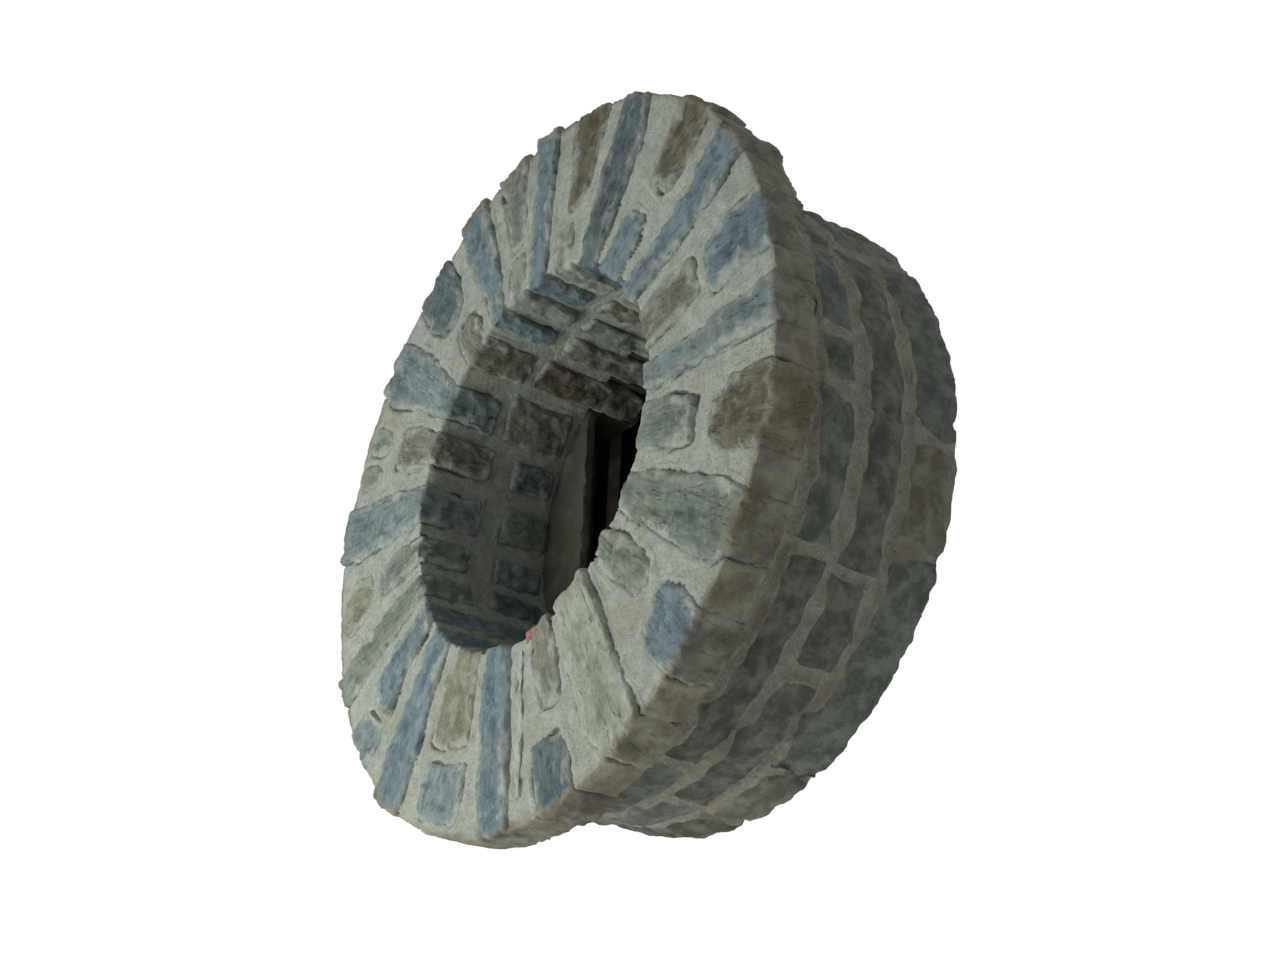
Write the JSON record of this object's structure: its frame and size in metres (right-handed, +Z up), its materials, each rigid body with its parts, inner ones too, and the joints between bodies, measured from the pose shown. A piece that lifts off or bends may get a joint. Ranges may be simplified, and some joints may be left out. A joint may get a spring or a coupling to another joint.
{
  "type": "oculus window",
  "caption": "Round window of rubble stones set on edge in lime mortar, with a stone-lined opening, a straight-sided stop and a fixed, glazed timber frame at its back.",
  "frame": {"origin": "on the opening's axis, in the plane of the wall's outside face, where the ring's back rests", "axes": "+Y along the opening's axis into the wall, so the ring's face looks along -Y; +Z up; +X to the right seen from outside"},
  "size_m": [0.9983, 0.353, 1.0069],
  "materials": {
    "stone_blue": "split blue sandstone, dull",
    "stone_slate": "split dark slate-blue sandstone, dull",
    "stone_blue_grey": "split blue-grey sandstone, dull",
    "stone_green_grey": "split green-grey sandstone, dull",
    "stone_brown_grey": "split brown-grey sandstone, dull",
    "stone_brown": "rough brown sandstone, dull",
    "stone_pale_grey": "pale grey sandstone smeared with lime, dull",
    "stone_tan": "tan sandstone, dull",
    "stone_buff": "buff limestone, dull",
    "mortar": "sandy lime mortar, brushed, dull",
    "timber": "dark stained softwood, low sheen",
    "window_glass": "clear float glass over a dark room",
    "putty": "weathered linseed putty",
    "screw_steel": "plain steel"
  },
  "bodies": {
    "root": {"inner_stone_04": "stone_blue", "inner_stone_16": "stone_blue", "long_stone_03": "stone_blue", "long_stone_07": "stone_blue", "long_stone_09": "stone_blue", "long_stone_17": "stone_blue", "long_stone_19": "stone_blue", "outer_stone_02": "stone_blue", "outer_stone_22": "stone_blue", "lining_stone_12": "stone_slate", "lining_stone_15": "stone_slate", "lining_stone_20": "stone_slate", "long_stone_05": "stone_slate", "outer_stone_10": "stone_slate", "outer_stone_20": "stone_slate", "lining_stone_04": "stone_blue_grey", "lining_stone_14": "stone_blue_grey", "long_stone_01": "stone_blue_grey", "long_stone_11": "stone_blue_grey", "long_stone_13": "stone_blue_grey", "outer_stone_16": "stone_blue_grey", "outer_stone_18": "stone_blue_grey", "inner_stone_14": "stone_green_grey", "inner_stone_22": "stone_green_grey", "inner_stone_24": "stone_green_grey", "lining_stone_06": "stone_green_grey", "lining_stone_08": "stone_green_grey", "lining_stone_13": "stone_green_grey", "lining_stone_22": "stone_green_grey", "long_stone_15": "stone_green_grey", "long_stone_23": "stone_green_grey", "outer_stone_08": "stone_green_grey", "outer_stone_12_upper": "stone_green_grey", "inner_stone_02": "stone_brown_grey", "inner_stone_10": "stone_brown_grey", "inner_stone_12": "stone_brown_grey", "inner_stone_20": "stone_brown_grey", "lining_stone_02": "stone_brown_grey", "lining_stone_07": "stone_brown_grey", "lining_stone_09": "stone_brown_grey", "lining_stone_11": "stone_brown_grey", "lining_stone_24": "stone_brown_grey", "outer_stone_12_lower": "stone_brown_grey", "lining_stone_10": "stone_brown", "outer_stone_04": "stone_brown", "outer_stone_06": "stone_brown", "outer_stone_24": "stone_brown", "inner_stone_06": "stone_pale_grey", "inner_stone_08": "stone_pale_grey", "inner_stone_18": "stone_tan", "outer_stone_14": "stone_tan", "long_stone_21": "stone_buff", "mortar_bed": "mortar", "bottom_rail": "timber", "head_rail": "timber", "stile_left": "timber", "stile_right": "timber", "glass_pane": "window_glass", "glazing_putty": "putty", "frame_screws": "screw_steel"}
  },
  "joints": []
}
